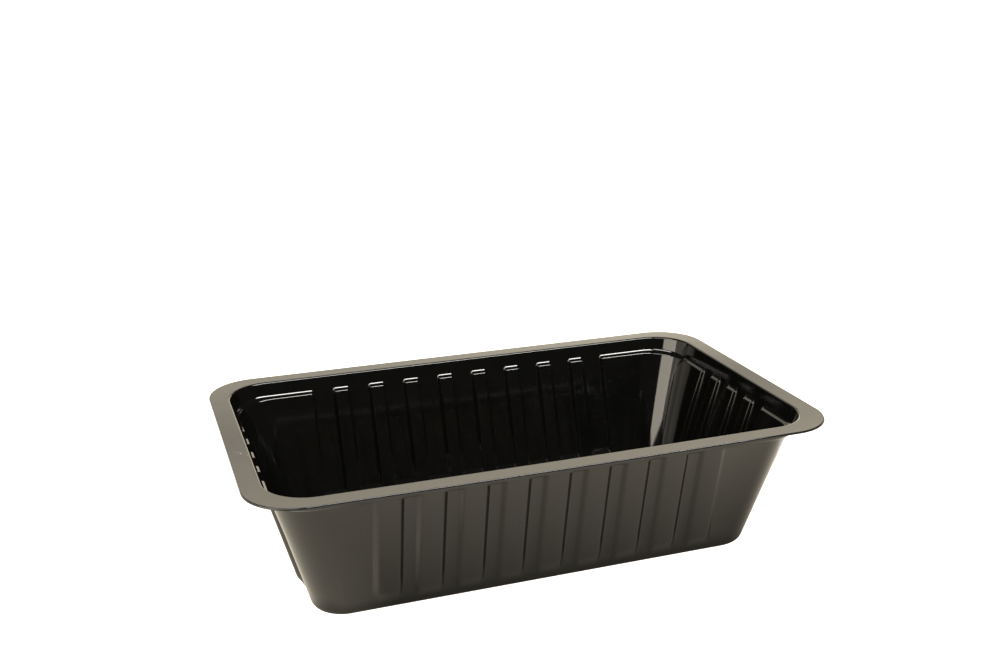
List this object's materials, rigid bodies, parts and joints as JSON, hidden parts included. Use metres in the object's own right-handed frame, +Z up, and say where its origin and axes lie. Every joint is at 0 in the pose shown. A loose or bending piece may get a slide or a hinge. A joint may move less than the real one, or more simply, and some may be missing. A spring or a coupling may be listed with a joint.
{
  "type": "plastic food tray",
  "caption": "Deep rectangular black plastic food tray with leaning ribbed walls, a narrow ledge under the rim and a flat sealing flange.",
  "frame": {"origin": "middle of the underside of the base", "axes": "+X along the long sides, +Y along the short sides, +Z up through the open top"},
  "size_m": [0.25, 0.1506, 0.0632],
  "materials": {
    "black_plastic": "glossy black thermoformed sheet"
  },
  "bodies": {
    "root": {"tray": "black_plastic"}
  },
  "joints": []
}
